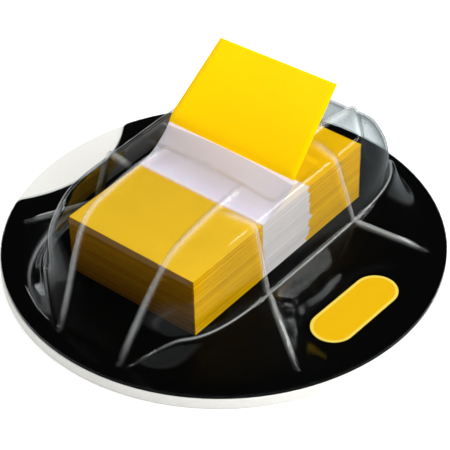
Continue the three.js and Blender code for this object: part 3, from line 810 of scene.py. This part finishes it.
def spoke_angles():
    """Spoke directions, close together where the ribs cross them."""
    angles, angle = [], 0.0
    while angle < math.pi / 2:
        angles.append(angle)
        in_dense = any(a <= angle <= b for a, b in SPOKES_DENSE)
        angle += SPOKE_FINE if in_dense else SPOKE_COARSE
    quarter = np.array(angles) * (math.pi / 2) / angle
    half = np.concatenate([quarter, [math.pi / 2], math.pi - quarter[:0:-1]])
    return np.concatenate([half, half + math.pi])


angles = spoke_angles()
skins = [spoke_profile(a) for a in angles]
profiles = np.array([rows for rows, _ in skins])
shoulder = np.array([row for _, row in skins])
spokes, rings = profiles.shape[:2]
grid = np.stack([profiles[..., 0] * np.cos(angles)[:, None],
                 profiles[..., 0] * np.sin(angles)[:, None], profiles[..., 1]], 2)


def skin_z(x, y):
    """Height of the outer skin over a point of the plan."""
    angle, radius = np.arctan2(y, x), np.hypot(x, y)
    dome = dome_radius(angle)
    station = np.clip((radius - dome) / (FOOT_RADIUS + SKIRT_FLARE - dome), 0, 1)
    edge_z = dome_z(dome / body_radius(angle), angle)
    skirt = FLANGE_TOP + (edge_z - FLANGE_TOP) * skirt_share(station, radius, angle)
    inside = dome_z(dome_reach(np.minimum(radius, dome), angle), angle)
    return np.where(radius <= dome, inside, skirt)


def end_rib_line():
    share = np.linspace(0, 1, RIB_STEPS)
    foot = math.sqrt(FOOT_RADIUS ** 2 - END_RIB_FOOT_X ** 2)
    x = END_RIB_FOOT_X + (END_RIB_TOP_X - END_RIB_FOOT_X) * smoothstep(share, 0, END_RIB_TURN)
    return x + END_RIB_BULGE * np.sin(math.pi * share), foot + (PANEL_HALF[1] - foot) * share


def side_rib_line():
    wall_radius = float(body_radius(FIN_ANGLE))
    tip = FOOT_RADIUS - FIN_TIP_WIDTH
    turn = np.array((math.cos(FIN_ANGLE), math.sin(FIN_ANGLE)))
    plan = np.array([turn * tip, turn * (wall_radius + LEDGE_WIDTH), SIDE_RIB_EDGE, SIDE_RIB_TOP])
    lengths = np.concatenate([[0], np.cumsum(np.linalg.norm(np.diff(plan, axis=0), axis=1))])
    run = np.linspace(0, lengths[-1], RIB_STEPS)
    return np.interp(run, lengths, plan[:, 0]), np.interp(run, lengths, plan[:, 1])


def nearest(points, line):
    """Distance from each point to a line of points, and the share of the line that it is at."""
    distance, place = np.full(len(points), np.inf), np.zeros(len(points))
    for count, (a, b) in enumerate(zip(line[:-1], line[1:])):
        step = b - a
        share = np.clip((points - a) @ step / (step @ step), 0, 1)
        apart = np.linalg.norm(points - a - share[:, None] * step, axis=1)
        place = np.where(apart < distance, (count + share) / (len(line) - 1), place)
        distance = np.minimum(distance, apart)
    return distance, place


across = np.roll(grid, -1, 0) - np.roll(grid, 1, 0)
down = np.gradient(grid, axis=1)
normals = np.cross(down, across)
normals /= np.linalg.norm(normals, axis=2, keepdims=True)
flat_grid = grid.reshape(-1, 3)
raised = np.zeros(len(flat_grid))
for side_x in (-1, 1):
    for side_y in (-1, 1):
        for is_end, (x, y) in ((True, end_rib_line()), (False, side_rib_line())):
            panel_shift = SLOT_Y * smoothstep(FOOT_RADIUS - y, *PANEL_REACH) if is_end else 0
            px, py = side_x * x, side_y * y + panel_shift
            apart, place = nearest(flat_grid, np.stack([px, py, skin_z(px, py)], 1))
            taper = smoothstep(place, 0, RIB_TAPER) * smoothstep(1 - place, 0, RIB_TAPER)
            bump = RIB_HEIGHT * np.clip(1 - (apart / RIB_HALF_WIDTH) ** 2, 0, 1) ** RIB_ROUNDNESS
            raised = np.maximum(raised, bump * (RIB_TIP_SHARE + (1 - RIB_TIP_SHARE) * taper))
shoulder = np.stack([shoulder[:, 0] * np.cos(angles), shoulder[:, 0] * np.sin(angles),
                     shoulder[:, 1]], 1)
apart = np.linalg.norm(grid - shoulder[:, None], axis=2).reshape(-1)
bead = np.clip(1 - (apart / BEAD_HALF_WIDTH) ** 2, 0, 1) ** RIB_ROUNDNESS
bead *= np.repeat(1 - end_share(angles), grid.shape[1])
raised = np.maximum(raised, BEAD_HEIGHT * bead)
# Share of the painted rib and ledge highlight, passed to the cover's material as the ridge
# attribute.
ridge = np.concatenate([np.maximum(raised / RIB_HEIGHT, bead), [0]]) ** RIDGE_FOCUS
raised = raised.reshape(grid.shape[:2])
panel = np.maximum(np.abs(grid[..., :2] - (0, SLOT_Y)) - PANEL_HALF + PANEL_CORNER, 0)
panel_distance = np.linalg.norm(panel, axis=2) - PANEL_CORNER
raised -= PANEL_DEPTH * smoothstep(-panel_distance, 0, PANEL_EDGE)
grid = grid + normals * raised[..., None]
cover_points = np.concatenate([grid.reshape(-1, 3), [[0, 0, DOME_TOP - PANEL_DEPTH]]])
crown = len(cover_points) - 1
cover_faces = []
for i in range(spokes):
    j = (i + 1) % spokes
    cover_faces.append((crown, i * rings, j * rings))
    for k in range(rings - 1):
        cover_faces.append((i * rings + k, i * rings + k + 1, j * rings + k + 1, j * rings + k))

# Clear PET sheet, vacuum-formed: almost unseen face on, a mirror and a little grey where it turns
# away,
# and white along the ribs and ledge: a painted highlight, partly also milk where the mould
# stretched it.
clear, clear_tree = start_material("vacuum_formed_clear_pet")
facing = add_node(clear_tree, "ShaderNodeLayerWeight", None, {"Blend": 0.5})
grazing = add_node(clear_tree, "ShaderNodeMath", {"operation": "POWER"},
                   {0: facing.outputs["Facing"], 1: MIRROR_POWER})
mirrored = add_node(clear_tree, "ShaderNodeMapRange", None, {
    "Value": grazing.outputs[0], "To Min": MIRROR_FACE_ON, "To Max": MIRROR_EDGE_ON})
deep = add_node(clear_tree, "ShaderNodeMath", {"operation": "POWER"},
                {0: facing.outputs["Facing"], 1: DEEP_POWER})
tint = add_node(clear_tree, "ShaderNodeMix", {"data_type": "RGBA"}, {
    0: deep.outputs[0], 6: linear(SHEET_CLEAR), 7: linear(SHEET_DEEP)})
through = add_node(clear_tree, "ShaderNodeBsdfTransparent", None, {"Color": tint.outputs[2]})
gloss = add_node(clear_tree, "ShaderNodeBsdfAnisotropic", None, {
    "Color": (1, 1, 1, 1), "Roughness": SHEET_ROUGHNESS})
sheet = add_node(clear_tree, "ShaderNodeMixShader", None, {
    0: mirrored.outputs[0], 1: through.outputs[0], 2: gloss.outputs[0]})
# Painted highlight along the ribs and ledge, partly also stretch whitening: a white diffuse share
# mixed in.
ridge_share = add_node(clear_tree, "ShaderNodeAttribute", {"attribute_name": "ridge"})
ridge_milk_and_highlight = add_node(clear_tree, "ShaderNodeMath", {"operation": "MULTIPLY"}, {
    0: ridge_share.outputs["Fac"], 1: RIDGE_MILK_AND_HIGHLIGHT})
ridge_milk_and_highlight_shader = add_node(clear_tree, "ShaderNodeBsdfDiffuse", None, {"Color": linear(RIDGE_WHITE_AND_HIGHLIGHT)})
formed = add_node(clear_tree, "ShaderNodeMixShader", None, {
    0: ridge_milk_and_highlight.outputs[0], 1: sheet.outputs[0], 2: ridge_milk_and_highlight_shader.outputs[0]})
finish_material(clear_tree, formed.outputs[0])

cover = make_piece("clear_cover", cover_points, cover_faces, clear)
cover.data.attributes.new("ridge", "FLOAT", "POINT").data.foreach_set("value", ridge)
wall = cover.modifiers.new("wall", "SOLIDIFY")
wall.thickness = COVER_WALL * MM
wall.offset = -1
depsgraph = bpy.context.evaluated_depsgraph_get()
cover.data = bpy.data.meshes.new_from_object(cover.evaluated_get(depsgraph), depsgraph=depsgraph)
cover.modifiers.clear()

slot_turns = np.linspace(0, math.pi, SLOT_END_STEPS)
slot_end, slot_radius = SLOT_SIZE[0] / 2 - SLOT_SIZE[1] / 2, SLOT_SIZE[1] / 2
slot_outline = [(slot_end + slot_radius * math.sin(t), SLOT_Y - slot_radius * math.cos(t))
                for t in slot_turns]
slot_outline += [(-x, 2 * SLOT_Y - y) for x, y in slot_outline]
slot_count = len(slot_outline)
cutter = make_piece(
    "slot_punch",
    [(x, y, DOME_TOP + lift) for lift in SLOT_CUT for x, y in slot_outline],
    [tuple(range(slot_count))[::-1], tuple(range(slot_count, 2 * slot_count))]
    + [(i, (i + 1) % slot_count, slot_count + (i + 1) % slot_count, slot_count + i)
       for i in range(slot_count)], clear)
punch = cover.modifiers.new("slot", "BOOLEAN")
punch.operation = "DIFFERENCE"
punch.solver = "MANIFOLD"
punch.object = cutter
depsgraph = bpy.context.evaluated_depsgraph_get()
cover.data = bpy.data.meshes.new_from_object(cover.evaluated_get(depsgraph), depsgraph=depsgraph)
cover.modifiers.clear()
bpy.data.objects.remove(cutter)
cover.data.shade_smooth()
cover.data.set_sharp_from_angle(angle=SHARP_CREASE)
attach(cover, "root")
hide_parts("cover")
